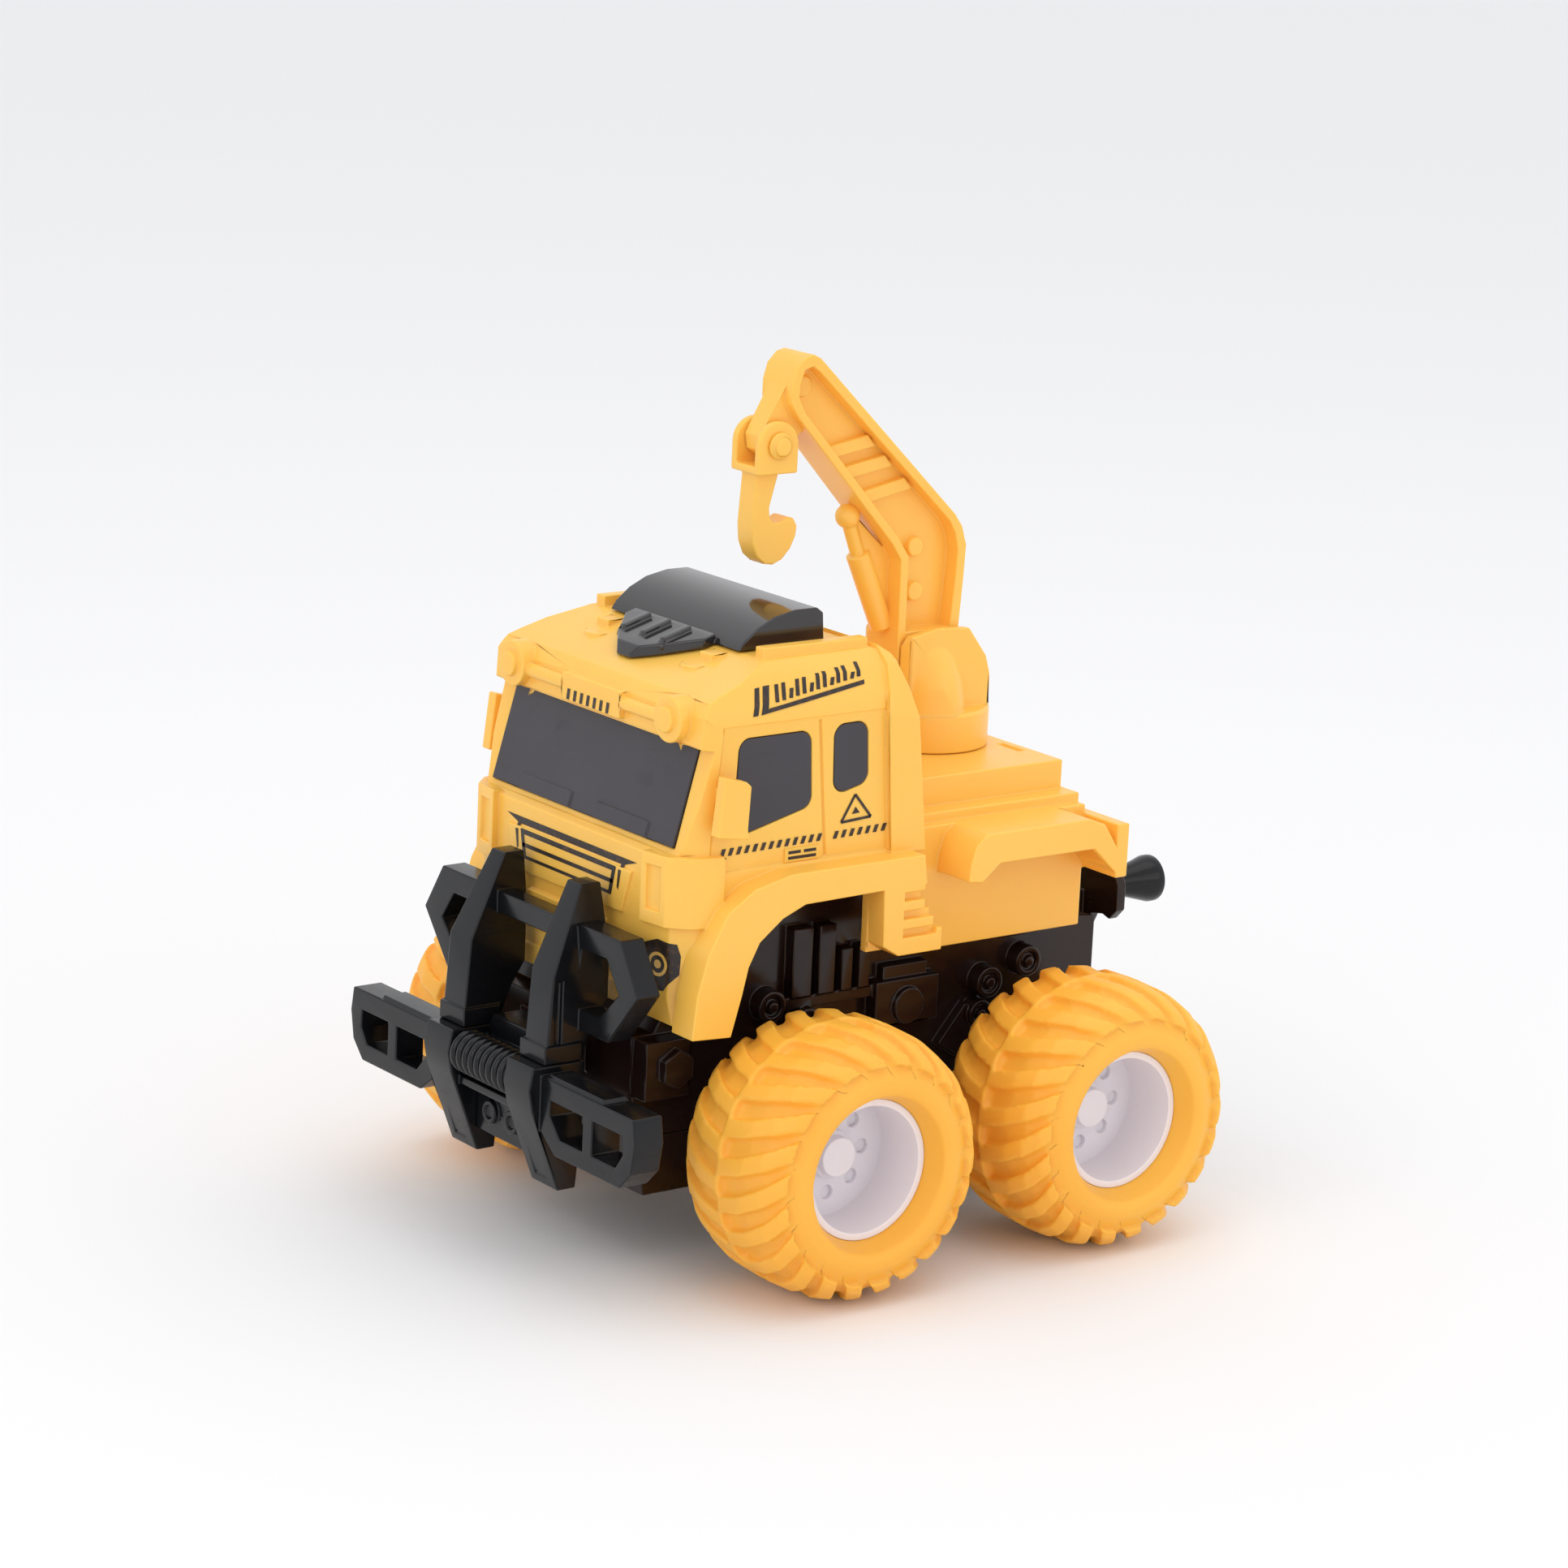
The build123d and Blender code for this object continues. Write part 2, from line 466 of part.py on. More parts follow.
# ---------------------------------------------------------------- wheels
wheel_out = mx(61.8)
wheel_in = wheel_out - tyre_width
wheel_mid = (wheel_out + wheel_in) / 2
rim_face_x = wheel_out - 5.1
tread_radius = tyre_radius - tread_depth


def tyre_profile(grow):
    """Half section of the balloon tyre as distances from its middle plane and from the axle."""
    half = tyre_width / 2 - 0.6 + min(grow, 0.6)
    top = tread_radius + grow
    return [(0, top), (half * 0.42, top - 0.25), (half * 0.68, top - 1.3), (half * 0.88, top - 3.4),
            (half * 0.985, top - 6.2), (half, top - 7.6), (half * 0.97, rim_radius + 1.6),
            (half * 0.72, rim_radius + 0.05)]


def tyre_solid(grow):
    right = tyre_profile(grow)
    left = [(-x, r) for x, r in right[1:]]
    return revolve(flat(list(reversed(left)) + right), Axis.X)


tyre_core = tyre_solid(0.0)
envelope = tyre_solid(tread_depth)
bead = rim_radius + 0.05
cavity_half = tyre_width / 2 - 4.0
cavity = Rot(0, 90, 0) * (Cylinder(tread_radius - 3.4, cavity_half * 1.5)
                          + Cylinder(tread_radius - 5.6, cavity_half * 2))
cavity -= Rot(0, 90, 0) * Cylinder(bead + bead_flange, tyre_width)
cavity += Rot(0, 90, 0) * Cylinder(bead + bead_flange + 1, tyre_width / 3)
pitch = 2 * pi * tyre_radius / lug_count
lug_plan = [(-0.4, -0.52 * pitch), (5.2, -0.34 * pitch), (11.0, 0.02 * pitch), (tyre_width / 2, 0.5 * pitch),
            (tyre_width / 2, 1.02 * pitch), (11.0, 0.52 * pitch), (5.2, 0.14 * pitch), (-0.4, -0.06 * pitch)]
lug_right = Pos(0, 0, rim_radius + 3.5) * extrude(flat(lug_plan), tyre_radius)
lug_right = lug_right & envelope
lug_left = lug_right.mirror(Plane.YZ)
lugs = []
for i in range(lug_count):
    turn = 360 * i / lug_count
    lugs.append(Rot(turn, 0, 0) * lug_right)
    lugs.append(Rot(turn + 180 / lug_count, 0, 0) * lug_left)
tyre = tyre_core.fuse(*lugs) - Rot(0, 90, 0) * Cylinder(bead, tyre_width * 2) - cavity

rim_in = wheel_in + 3.6 - wheel_mid
rim_out = rim_face_x - wheel_mid
face_x = rim_out - rim_dish
hub_in = mx(25.2) - wheel_mid


def disc(radius, x0, x1):
    return Pos((x0 + x1) / 2, 0, 0) * Rot(0, 90, 0) * Cylinder(radius, x1 - x0)


rim = disc(rim_radius, rim_in, rim_out) - disc(rim_radius - rim_wall, rim_in - 1, rim_out + 1)
rim += disc(rim_radius - 0.3, face_x - 1.8, face_x)
rim += disc(3.6, face_x - 0.5, face_x + 3.2)
rim += disc(4.4, face_x - 0.5, face_x + 1.2)
rim += disc(3.4, hub_in, face_x)
rim_holes = 8
for i in range(rim_holes):
    around = radians(360 * i / rim_holes)
    rim -= Pos(face_x - 0.9, 7.4 * cos(around), 7.4 * sin(around)) * Rot(0, 90, 0) * Cylinder(1.35, 6)
rim -= disc(axle_radius + 0.02, hub_in - 1, face_x + 2.0)
for place, wy in (("front", front_axle_y), ("rear", rear_axle_y)):
    save("tyre_" + place + "_left", Pos(wheel_mid, wy, axle_z) * tyre)
    save("rim_" + place + "_left", Pos(wheel_mid, wy, axle_z) * rim)
    save("tyre_" + place + "_right", Pos(-wheel_mid, wy, axle_z) * tyre.mirror(Plane.YZ))
    save("rim_" + place + "_right", Pos(-wheel_mid, wy, axle_z) * rim.mirror(Plane.YZ))
    axle_end = wheel_mid + face_x + 1.9
    save(place + "_axle", rod("x", (wy, axle_z), axle_radius, -axle_end, axle_end))

# ---------------------------------------------------------------- friction motor
centre_distance = gear_module * (wheel_teeth + pinion_teeth) / 2
lean = atan2(0.8, -0.6)
idler_at = (rear_axle_y + centre_distance * cos(lean), axle_z + centre_distance * sin(lean))
fly_at = (idler_at[0] + centre_distance * cos(lean), idler_at[1] + centre_distance * sin(lean))


def gear(teeth, at, x0, x1, first_tooth, bore):
    """Straight spur gear about X; first_tooth is the angle of one tooth from +Y towards +Z."""
    pitch_r = gear_module * teeth / 2
    tip_r = pitch_r + 0.9 * gear_module
    root_r = pitch_r - 1.15 * gear_module
    step = 2 * pi / teeth
    outline = []
    for i in range(teeth):
        mid = first_tooth + i * step
        for radius, part in ((root_r, -0.36), (pitch_r, -0.2), (tip_r, -0.08), (tip_r, 0.08),
                             (pitch_r, 0.2), (root_r, 0.36)):
            outline.append((radius * cos(mid + part * step), radius * sin(mid + part * step)))
    body = extrude(Plane.YZ * flat(outline), x1 - x0, dir=(1, 0, 0))
    return Pos(x0, at[0], at[1]) * body - rod("x", at, bore, x0 - 1, x1 + 1)


axle_at = (rear_axle_y, axle_z)
drive_gear = gear(wheel_teeth, axle_at, -6.2, -6.2 + gear_width, lean, axle_radius + 0.02)
drive_gear += rod("x", axle_at, 3.4, -7.2, -6.2) - rod("x", axle_at, axle_radius + 0.02, -8, -6)
save("drive_gear", drive_gear)
pinion_phase = lean + pi + pi / pinion_teeth
idler = gear(pinion_teeth, idler_at, -6.4, -2.2, pinion_phase, shaft_radius + 0.02)
idler += gear(wheel_teeth, idler_at, -2.2, -2.2 + gear_width, lean, shaft_radius + 0.02)
save("idler_gear", idler)
save("idler_shaft", rod("x", idler_at, shaft_radius, -8.9, 8.9))
save("flywheel_pinion", gear(pinion_teeth, fly_at, -2.6, 1.6, pinion_phase, shaft_radius + 0.02))
flywheel = rod("x", fly_at, flywheel_radius, 2.4, 6.4) - rod("x", fly_at, shaft_radius + 0.02, 1, 8)
flywheel -= rod("x", fly_at, flywheel_radius - 1.8, 5.4, 7) - rod("x", fly_at, 2.6, 5, 8)
save("flywheel", flywheel)
save("flywheel_shaft", rod("x", fly_at, shaft_radius, -8.9, 8.9))

case_wall = 1.1
case_y = (fly_at[0] - flywheel_radius - 1.8, rear_axle_y + 9.6)
case_z = (axle_z - 8.9, fly_at[1] + flywheel_radius + 1.8)


def case_half(side):
    y0, y1 = case_y
    z0, z1 = case_z
    outline = [(y0, fly_at[1] - 6), (rear_axle_y - 8.6, z0), (y1, z0), (y1, axle_z + 9),
               (fly_at[0] + 10.5, z1), (y0, z1)]
    outer = extrude(Plane.YZ * flat(outline), 9.0, dir=(1, 0, 0))
    inner = extrude(Plane.YZ * offset(flat(outline), -case_wall, kind=Kind.INTERSECTION), 7.9, dir=(1, 0, 0))
    half = outer - inner
    for at, radius in ((axle_at, axle_radius), (idler_at, shaft_radius), (fly_at, shaft_radius)):
        half -= rod("x", at, radius + running_gap, 5, 12)
    for at in ((y0 + 2.4, z1 - 2.4), (y1 - 2.4, z0 + 2.4)):
        half += rod("x", at, 1.9, 0.0, 8.5)
        half -= rod("x", at, screw_radius - 0.15 if side < 0 else screw_radius + 0.1, -1, 10)
    half += Pos(5.0, fly_at[0] + 2.0, (z1 + mz(63.5)) / 2 - 0.25) * Box(4.0, 6.0, mz(63.5) - z1 + 0.5)
    half = half & Box(18.4, 400, 400)
    half -= Pos(-0.02, 0, 0) * Box(0.08, 400, 400)
    return half if side > 0 else half.mirror(Plane.YZ)


save("motor_case_left", case_half(1))
save("motor_case_right", case_half(-1))
screw_shaft = screw_radius - 0.18


def screw(length):
    """Pan-head screw, head upwards at the origin, shaft towards -Z."""
    head = Pos(0, 0, screw_head_height / 2) * Cylinder(screw_head_radius, screw_head_height)
    shaft = Pos(0, 0, -length / 2) * Cylinder(screw_shaft, length)
    slot = Pos(0, 0, 1.3) * (Box(2.6, 0.6, 0.8) + Box(0.6, 2.6, 0.8))
    return head + shaft - slot


case_screws = [(case_y[0] + 2.4, case_z[1] - 2.4), (case_y[1] - 2.4, case_z[0] + 2.4)]
for number, at in enumerate(case_screws, 1):
    save("motor_screw_" + str(number), Pos(9.0, at[0], at[1]) * Rot(0, 90, 0) * screw(14.0))
for number, ((px, py), low) in enumerate(zip(cover_screw_at, cover_low), 1):
    seat = mz(low) + counterbore if low < 20 else mz(low)
    save("cover_screw_" + str(number), Pos(px, py, seat) * Rot(180, 0, 0) * screw(axle_z + 4 - seat))
body_screw_grip = 7.5
body_seat = mz(63.6)
body_screw_length = mz(deck_z) - body_seat + body_screw_grip
for number, (px, py) in enumerate(cab_post_at + rear_post_at, 1):
    save("body_screw_" + str(number), Pos(px, py, body_seat) * Rot(180, 0, 0) * screw(body_screw_length))

# ---------------------------------------------------------------- turret
deck_under = mz(82.7)
turn_gap = 0.12
ring_low = deck_top + turn_gap
pivot = (my(16.2), mz(99.5))
ring_top = pivot[1] - barrel_radius - barrel_gap
turret = rod("z", (0, turret_y), turret_radius, ring_low, ring_top)
turret = fillet(turret.edges().group_by(Axis.Z)[-1], 0.8)
cheek_side = [(8.6, 91.0), (8.9, 103.6), (10.8, 106.3), (17.0, 107.6), (24.4, 107.0), (28.7, 101.4),
              (31.4, 93.0), (31.4, 91.0)]
cheek = along_x(cheek_side, 4.0, cheek_gap + cheek_wall) & rod("z", (0, turret_y), turret_radius - 0.2,
                                                               ring_low, mz(110))
cheek -= Box(2 * cheek_gap, 400, 400)
dome_base = (0, my(17.2), ring_top - 0.5)
dome = Pos(*dome_base) * scale(Sphere(1), (turret_radius - 0.5, 8.2, mz(107.2) - ring_top + 0.5))
dome -= Box(2 * cheek_gap, 400, 400)
dome = dome & rod("z", (0, turret_y), turret_radius - 0.3, ring_low, mz(110))
for piece in (cheek, dome):
    for half in both(piece):
        turret += half
spigot_low = deck_under - 2.4
turret += rod("z", (0, turret_y), spigot_radius, spigot_low, ring_low + 1)
turret -= rod("z", (0, turret_y), screw_radius - 0.15, spigot_low - 1, spigot_low + 9)
pin_inner = cheek_gap + cheek_wall + 1.2
turret -= rod("x", pivot, pin_radius + 0.02, -20, pin_inner + 0.1)
save("turret", turret)
retainer = rod("z", (0, turret_y), spigot_radius + 2.8, spigot_low - 1.6, spigot_low)
retainer += rod("z", (0, turret_y), spigot_radius + 2.8, spigot_low, deck_under - turn_gap)
retainer -= rod("z", (0, turret_y), spigot_radius + 0.02, spigot_low, deck_under)
retainer -= rod("z", (0, turret_y), screw_radius + 0.1, spigot_low - 3, deck_under)
save("turret_retainer", retainer)
save("turret_screw", Pos(0, turret_y, spigot_low - 1.6) * Rot(180, 0, 0) * screw(9.0))
save("boom_pin", rod("x", pivot, pin_radius, -pin_inner - 2.6, pin_inner))

# ---------------------------------------------------------------- boom
boom_line = [(9.3, 99.5), (9.1, 120.6), (6.8, 123.9), (-16.0, 148.6), (-17.8, 151.5), (-17.8, 154.6),
             (-16.9, 157.6), (-15.0, 159.5), (-13.2, 160.0), (-11.5, 159.2), (21.4, 128.4), (23.2, 126.0),
             (24.4, 122.4), (24.2, 117.0), (23.1, 99.5)]
boom = along_x(boom_line, -boom_half, boom_half)
boom += rod("x", pivot, barrel_radius, mx(-boom_half), mx(boom_half))
rim_line = [(11.1, 107.0), (10.9, 121.2), (8.2, 125.0), (-14.4, 149.4), (-16.0, 152.2), (-15.9, 154.6),
            (-15.0, 157.2), (-13.2, 157.8), (-11.6, 156.7), (20.0, 127.3), (21.6, 124.8), (22.4, 121.6),
            (22.2, 117.0), (21.4, 107.0)]
pocket = along_x(rim_line, boom_web / 2, boom_half + 1)
for half in both(pocket):
    boom -= half
fill = [((-6.9, 141.3), (2.6, 143.1)), ((-3.6, 137.2), (6.8, 139.1)), ((0.4, 132.2), (11.6, 134.6))]
for (y0, z0), (y1, z1) in fill:
    bar = along_x([(y0 - 0.2, z0 - 1.1), (y1 + 0.6, z1 - 1.1), (y1 - 1.2, z1 + 1.1), (y0 - 1.4, z0 + 1.1)],
                  1.0, 2.8)
    for half in both(bar):
        boom += half & along_x(boom_line, -20, 20)
for by, bz, br, high in ((13.9, 122.4, 1.8, 2.8), (14.3, 114.0, 1.8, 2.8), (-13.2, 153.8, 1.9, 1.9)):
    knob = rod("x", (my(by), mz(bz)), br, mx(1.0), mx(high))
    for half in both(knob):
        boom += half
# moulded ram across the inner corner
boom += along_x([(0.4, 129.6), (9.4, 121.0), (9.4, 106.6), (7.6, 107.0)], -0.8, 0.8)
boom += strut((-0.4, 128.6), (2.6, 120.8), 1.35)
boom += strut((2.3, 121.6), (8.8, 107.4), 2.2)
boom += Pos(0, my(-0.4), mz(128.8)) * Sphere(2.3)
# hook arm
hook_pivot = (my(-19.9), mz(143.8))
arm_half = 2.5
boom += along_x([(-17.7, 154.6), (-22.8, 145.4), (-22.3, 142.6), (-20.0, 141.0), (-17.2, 142.6),
                 (-12.0, 147.0)], -arm_half, arm_half)
boom -= rod("x", pivot, pin_radius + running_gap, -20, 20)
pin_small = 1.2
boom -= rod("x", hook_pivot, pin_small + running_gap, -20, 20)
save("boom", boom)

# ---------------------------------------------------------------- hook
ear_in = 2.75
ear_out = 4.3
ear = rod("x", hook_pivot, 4.4, ear_in, ear_out)
ear += Pos((ear_in + ear_out) / 2, hook_pivot[0], hook_pivot[1] - 2.4) * Box(ear_out - ear_in, 8.8, 4.8)
hook = Pos(0, hook_pivot[0], hook_pivot[1] - 4.5) * Box(2 * ear_out, 8.8, 1.5)
for half in both(ear):
    hook += half
hook_balance = 0.5
hook_line = [(-22.6, 139.8), (-23.0, 134.0), (-23.3, 129.0), (-23.0, 125.8), (-21.9, 123.3), (-20.2, 121.9),
             (-18.2, 121.6), (-16.2, 122.4), (-14.4, 124.3), (-13.3, 126.6), (-13.1, 128.4), (-13.9, 129.9),
             (-15.2, 130.2), (-16.6, 129.5), (-18.2, 129.2), (-19.3, 130.3), (-19.5, 132.2), (-18.6, 135.5),
             (-17.4, 139.8)]
hook += Pos(0, -hook_balance, 0) * along_x(hook_line, -2.4, 2.4)
hook -= rod("x", hook_pivot, pin_small + 0.02, -20, 20)
save("hook", hook)
button_gap = 0.05
hook_pin = rod("x", hook_pivot, pin_small, -ear_out - 1.0, ear_out + 1.0)
button = rod("x", hook_pivot, 2.5, ear_out + button_gap, ear_out + 0.9)
button += rod("x", hook_pivot, 1.8, ear_out + 0.5, ear_out + 1.5)
for half in both(button):
    hook_pin += half
save("hook_pin", hook_pin)
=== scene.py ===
import json
from math import cos, pi, radians, sin

import bmesh
import bpy
from mathutils import Matrix, Vector
from mathutils.bvhtree import BVHTree

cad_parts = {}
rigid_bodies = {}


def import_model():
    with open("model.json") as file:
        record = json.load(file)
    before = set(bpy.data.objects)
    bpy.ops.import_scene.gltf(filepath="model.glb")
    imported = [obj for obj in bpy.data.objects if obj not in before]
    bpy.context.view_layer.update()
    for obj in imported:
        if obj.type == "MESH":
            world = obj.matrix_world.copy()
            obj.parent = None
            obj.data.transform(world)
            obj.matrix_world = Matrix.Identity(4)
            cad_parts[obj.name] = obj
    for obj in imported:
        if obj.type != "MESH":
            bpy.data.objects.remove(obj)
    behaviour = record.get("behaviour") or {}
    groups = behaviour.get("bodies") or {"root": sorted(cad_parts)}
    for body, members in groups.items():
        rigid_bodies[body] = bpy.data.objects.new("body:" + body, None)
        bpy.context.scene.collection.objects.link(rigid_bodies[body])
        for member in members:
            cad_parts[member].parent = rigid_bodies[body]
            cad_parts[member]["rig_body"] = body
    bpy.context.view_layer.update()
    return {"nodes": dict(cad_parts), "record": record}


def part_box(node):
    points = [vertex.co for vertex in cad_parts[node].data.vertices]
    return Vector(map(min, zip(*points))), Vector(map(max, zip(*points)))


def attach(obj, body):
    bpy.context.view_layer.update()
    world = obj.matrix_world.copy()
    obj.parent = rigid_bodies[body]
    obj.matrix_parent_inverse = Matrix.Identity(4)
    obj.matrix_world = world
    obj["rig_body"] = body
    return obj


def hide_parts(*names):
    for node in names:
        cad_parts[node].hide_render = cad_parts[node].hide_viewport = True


mm = 0.001

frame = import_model()
print("frame loaded:", len(frame["nodes"]), "nodes")


# ---- shader helpers

class Wire:
    # one output socket; arithmetic on it adds Math nodes
    def __init__(self, graph, socket):
        self.graph = graph
        self.socket = socket

    def __add__(self, other):
        return self.graph.maths("ADD", self, other)

    def __sub__(self, other):
        return self.graph.maths("SUBTRACT", self, other)

    def __rsub__(self, other):
        return self.graph.maths("SUBTRACT", other, self)

    def __mul__(self, other):
        return self.graph.maths("MULTIPLY", self, other)

    __radd__ = __add__
    __rmul__ = __mul__


class Graph:
    def __init__(self, name):
        self.material = bpy.data.materials.new(name)
        self.material.use_nodes = True
        self.tree = self.material.node_tree
        self.tree.nodes.clear()
        self.shader = self.tree.nodes.new("ShaderNodeBsdfPrincipled")
        ending = self.tree.nodes.new("ShaderNodeOutputMaterial")
        self.tree.links.new(self.shader.outputs["BSDF"], ending.inputs["Surface"])
        self.place = self.add("ShaderNodeTexCoord", output="Object")

    def feed(self, socket, value):
        if isinstance(value, Wire):
            self.tree.links.new(value.socket, socket)
        else:
            socket.default_value = value

    def add(self, kind, settings=None, inputs=None, output=0):
        node = self.tree.nodes.new(kind)
        for name, value in (settings or {}).items():
            setattr(node, name, value)
        for name, value in (inputs or {}).items():
            self.feed(node.inputs[name], value)
        return Wire(self, node.outputs[output])

    def maths(self, operation, first, second):
        return self.add("ShaderNodeMath", {"operation": operation}, {0: first, 1: second})

    def noise(self, scale, detail=3.0, stretch=(1, 1, 1), rough=0.5):
        place = self.place
        if stretch != (1, 1, 1):
            place = self.add("ShaderNodeMapping", None, {"Vector": place, "Scale": stretch})
        inputs = {"Vector": place, "Scale": scale, "Detail": detail, "Roughness": rough}
        return self.add("ShaderNodeTexNoise", {"noise_dimensions": "3D"}, inputs, "Fac")

    def between(self, wire, low, high):
        # the part of a wire's range from low to high, spread over 0 to 1
        inputs = {"Value": wire, "From Min": low, "From Max": high}
        return self.add("ShaderNodeMapRange", {"clamp": True}, inputs, "Result")

    def blend(self, share, first, second):
        node = self.tree.nodes.new("ShaderNodeMix")
        node.data_type = "RGBA"
        self.feed(node.inputs[0], share)
        self.feed(node.inputs[6], first)
        self.feed(node.inputs[7], second)
        return Wire(self, node.outputs[2])

    def set(self, **values):
        for name, value in values.items():
            self.feed(self.shader.inputs[name.replace("_", " ")], value)

    def bump(self, height, strength, distance):
        inputs = {"Height": height, "Strength": strength, "Distance": distance}
        return self.add("ShaderNodeBump", None, inputs)


def rgb(red, green, blue):
    return (red, green, blue, 1.0)


# ---- materials

def mouldedPlastic(name, look):
    # injection moulded plastic: slow colour drift, fine grain, faint handling scratches
    graph = Graph(name)
    drift = graph.noise(look["driftScale"], 2.0)
    cloud = graph.between(graph.noise(look["driftScale"] * 4.3, 4.0), 0.35, 0.7)
    colour = graph.blend(graph.between(drift, 0.35, 0.65), look["colour"], look["colourTwo"])
    speck = graph.between(graph.noise(2600.0, 1.0), 0.70, 0.78)
    colour = graph.blend(speck * look["speck"], colour, look["speckColour"])
    scratches = graph.between(graph.noise(130.0, 6.0, (1.0, 0.05, 1.6), 0.62), 0.60, 0.66)
    rough = look["roughness"] + cloud * look["roughnessSpread"] + scratches * look["scratch"]
    grain = graph.noise(look["grainScale"], 2.0)
    swell = graph.noise(look["swellScale"], 1.0)
    fine = graph.bump(grain - scratches * 0.5, look["grain"], 0.02 * mm)
    normal = graph.bump(swell, look["swell"], 0.25 * mm)
    graph.tree.links.new(fine.socket, normal.socket.node.inputs["Normal"])
    graph.set(Base_Color=colour, Roughness=rough, Normal=normal)
    graph.set(IOR=look.get("ior", 1.5), Coat_Weight=look.get("coat", 0.0), Coat_Roughness=0.08)
    if "glow" in look:
        graph.set(Subsurface_Weight=look["glow"], Subsurface_Radius=look["glowRadius"])
        graph.set(Subsurface_Scale=look["glowScale"] * mm)
    return graph.material


def printInk(name, look):
    # pad printed ink: thin, slightly uneven cover
    graph = Graph(name)
    cover = graph.between(graph.noise(900.0, 4.0), 0.28, 0.5)
    thin = graph.between(graph.noise(3200.0, 2.0), 0.62, 0.75)
    colour = graph.blend(cover, look["thin"], look["colour"])
    colour = graph.blend(thin * 0.25, colour, look["thin"])
    graph.set(Base_Color=colour, Roughness=0.42 + thin * 0.2)
    graph.set(Normal=graph.bump(cover, 0.15, 0.02 * mm))
    return graph.material


def platedSteel(name):
    graph = Graph(name)
    turning = graph.noise(1500.0, 3.0, (0.04, 1.0, 1.0))
    stain = graph.between(graph.noise(180.0, 3.0), 0.4, 0.7)
    graph.set(Base_Color=graph.blend(stain, rgb(0.62, 0.61, 0.60), rgb(0.44, 0.43, 0.42)), Metallic=1.0)
    graph.set(Roughness=0.24 + turning * 0.12 + stain * 0.12, Normal=graph.bump(turning, 0.12, 0.02 * mm))
    return graph.material


looks = {
    "bodyYellow": {
        "colour": rgb(1.0, 0.575, 0.10), "colourTwo": rgb(0.98, 0.54, 0.085), "driftScale": 22.0,
        "speck": 0.12, "speckColour": rgb(0.84, 0.43, 0.07), "roughness": 0.30, "roughnessSpread": 0.10,
        "scratch": 0.06, "grainScale": 2400.0, "grain": 0.16, "swellScale": 95.0, "swell": 0.05,
        "glow": 0.22, "glowRadius": (1.0, 0.45, 0.08), "glowScale": 2.2},
    "darkWindow": {
        "colour": rgb(0.042, 0.038, 0.046), "colourTwo": rgb(0.034, 0.031, 0.038), "driftScale": 30.0,
        "speck": 0.10, "speckColour": rgb(0.12, 0.11, 0.12), "roughness": 0.34, "roughnessSpread": 0.10,
        "scratch": 0.10, "grainScale": 1900.0, "grain": 0.35, "swellScale": 70.0, "swell": 0.05},
    "blackGloss": {
        "colour": rgb(0.012, 0.011, 0.013), "colourTwo": rgb(0.016, 0.014, 0.016), "driftScale": 30.0,
        "speck": 0.05, "speckColour": rgb(0.09, 0.09, 0.09), "roughness": 0.08, "roughnessSpread": 0.06,
        "scratch": 0.10, "grainScale": 900.0, "grain": 0.03, "swellScale": 60.0, "swell": 0.10, "coat": 0.4},
    "blackTrim": {
        "colour": rgb(0.005, 0.0055, 0.007), "colourTwo": rgb(0.008, 0.0085, 0.010),
        "driftScale": 40.0, "ior": 1.38, "speck": 0.05, "speckColour": rgb(0.07, 0.07, 0.075),
        "roughness": 0.15, "roughnessSpread": 0.10, "scratch": 0.12, "grainScale": 1500.0, "grain": 0.16,
        "swellScale": 110.0, "swell": 0.12},
    "chassisBrown": {
        "colour": rgb(0.012, 0.006, 0.005), "colourTwo": rgb(0.022, 0.010, 0.007),
        "driftScale": 34.0, "ior": 1.40, "speck": 0.05, "speckColour": rgb(0.10, 0.07, 0.05),
        "roughness": 0.14, "roughnessSpread": 0.10, "scratch": 0.10, "grainScale": 1300.0, "grain": 0.12,
        "swellScale": 90.0, "swell": 0.10},
    "tyreOrange": {
        "colour": rgb(1.0, 0.51, 0.058), "colourTwo": rgb(0.98, 0.465, 0.045), "driftScale": 26.0,
        "speck": 0.16, "speckColour": rgb(0.84, 0.34, 0.035), "roughness": 0.44, "roughnessSpread": 0.12,
        "scratch": 0.05, "grainScale": 1700.0, "grain": 0.30, "swellScale": 120.0, "swell": 0.10,
        "glow": 0.25, "glowRadius": (1.0, 0.40, 0.06), "glowScale": 2.5},
    "rimWhite": {
        "colour": rgb(0.88, 0.84, 0.88), "colourTwo": rgb(0.84, 0.80, 0.84), "driftScale": 40.0,
        "speck": 0.10, "speckColour": rgb(0.62, 0.58, 0.60), "roughness": 0.34, "roughnessSpread": 0.10,
        "scratch": 0.08, "grainScale": 2000.0, "grain": 0.15, "swellScale": 100.0, "swell": 0.05,
        "glow": 0.15, "glowRadius": (1.0, 0.8, 0.8), "glowScale": 1.5},
    "gearWhite": {
        "colour": rgb(0.80, 0.80, 0.74), "colourTwo": rgb(0.74, 0.73, 0.67), "driftScale": 60.0,
        "speck": 0.08, "speckColour": rgb(0.55, 0.52, 0.45), "roughness": 0.38, "roughnessSpread": 0.12,
        "scratch": 0.08, "grainScale": 2200.0, "grain": 0.2, "swellScale": 100.0, "swell": 0.04},
}
materials = {name: mouldedPlastic(name, look) for name, look in looks.items()}
inkLook = {"colour": rgb(0.020, 0.013, 0.011), "thin": rgb(0.075, 0.035, 0.015)}
materials["printInk"] = printInk("printInk", inkLook)
materials["steel"] = platedSteel("steel")
